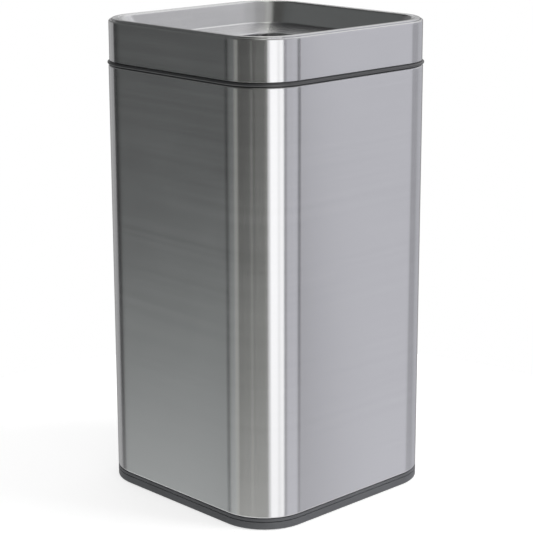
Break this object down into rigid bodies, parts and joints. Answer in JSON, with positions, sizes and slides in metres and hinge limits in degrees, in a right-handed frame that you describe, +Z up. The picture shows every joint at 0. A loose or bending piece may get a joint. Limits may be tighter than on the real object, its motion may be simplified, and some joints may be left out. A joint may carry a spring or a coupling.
{
  "type": "open-top wastepaper bin",
  "caption": "Tall square steel waste bin with rounded corners, a lift-off lid with a sloping chute and square opening, a plastic collar and base, and a lift-out bucket with a bail.",
  "frame": {"origin": "on the floor, under the middle of the bin", "axes": "+Z up; the front faces -Y and the shell's seam is at the rear, on +Y; +X is to the right seen from the front"},
  "size_m": [0.3228, 0.3228, 0.6127],
  "materials": {
    "steel": "stainless steel, brushed along its length, satin",
    "grey_plastic": "dark grey moulded plastic, fine matt",
    "black_plastic": "black moulded plastic, matt",
    "rubber": "black rubber",
    "plated_steel": "bright zinc-plated steel"
  },
  "bodies": {
    "body": {"body_shell": "steel", "collar": "grey_plastic", "base_frame": "grey_plastic", "base_plate": "grey_plastic", "base_screw_1": "plated_steel", "base_screw_2": "plated_steel", "base_screw_3": "plated_steel", "base_screw_4": "plated_steel", "foot_1": "rubber", "foot_2": "rubber", "foot_3": "rubber", "foot_4": "rubber"},
    "bucket": {"inner_bucket": "black_plastic"},
    "bail": {"bucket_bail": "plated_steel", "bail_grip": "black_plastic"},
    "lid": {"lid_carrier": "black_plastic", "lid_band": "steel", "lid_funnel": "steel", "funnel_nut_1": "plated_steel", "funnel_nut_2": "plated_steel", "funnel_nut_3": "plated_steel", "funnel_nut_4": "plated_steel"}
  },
  "joints": [
    {"name": "bucket_lift", "type": "slide", "parent": "body", "child": "bucket", "axis": [0, 0, 1], "range_m": [0, 0.56]},
    {"name": "lid_lift", "type": "slide", "parent": "bucket", "child": "lid", "axis": [0, 0, 1], "range_m": [0, 0.6]},
    {"name": "bail_swing", "type": "hinge", "parent": "bucket", "child": "bail", "pos_m": [0, 0, 0.5641], "axis": [1, 0, 0], "range_deg": [0, 180.01]}
  ],
  "couplings": [
    {"joint": "bail_swing", "follows": "lid_lift", "rad_per_m": 5.236}
  ]
}
